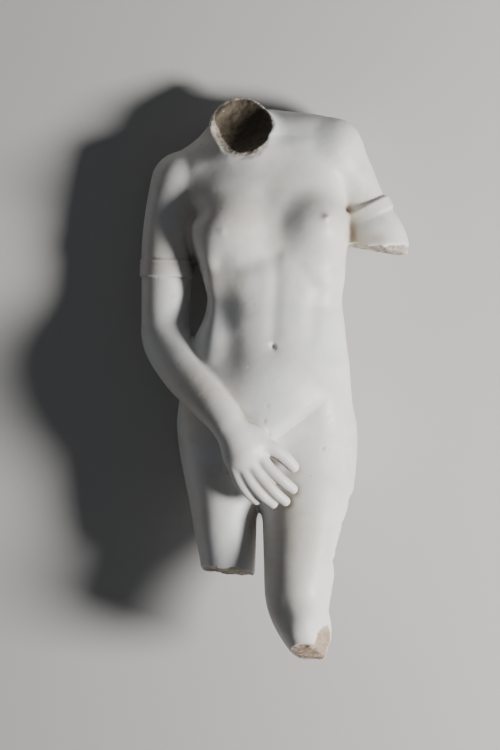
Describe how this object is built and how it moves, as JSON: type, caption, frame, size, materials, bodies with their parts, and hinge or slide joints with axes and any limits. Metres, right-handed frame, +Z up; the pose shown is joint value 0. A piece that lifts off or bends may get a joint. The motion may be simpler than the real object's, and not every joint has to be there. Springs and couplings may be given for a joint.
{
  "type": "marble statue fragment",
  "caption": "Marble fragment of a nude goddess shielding herself with her right hand, head and lower limbs broken away, lying on its back.",
  "frame": {"origin": "centre of the bounding box at floor level, under the back that the figure lies on", "axes": "+X to the figure's left, +Y up the body towards the broken neck, +Z up out of the chest"},
  "size_m": [0.216, 0.446, 0.1378],
  "materials": {
    "marble": "smooth carved marble with worn patina and rough breaks"
  },
  "bodies": {
    "root": {"marble_figure": "marble"}
  },
  "joints": []
}
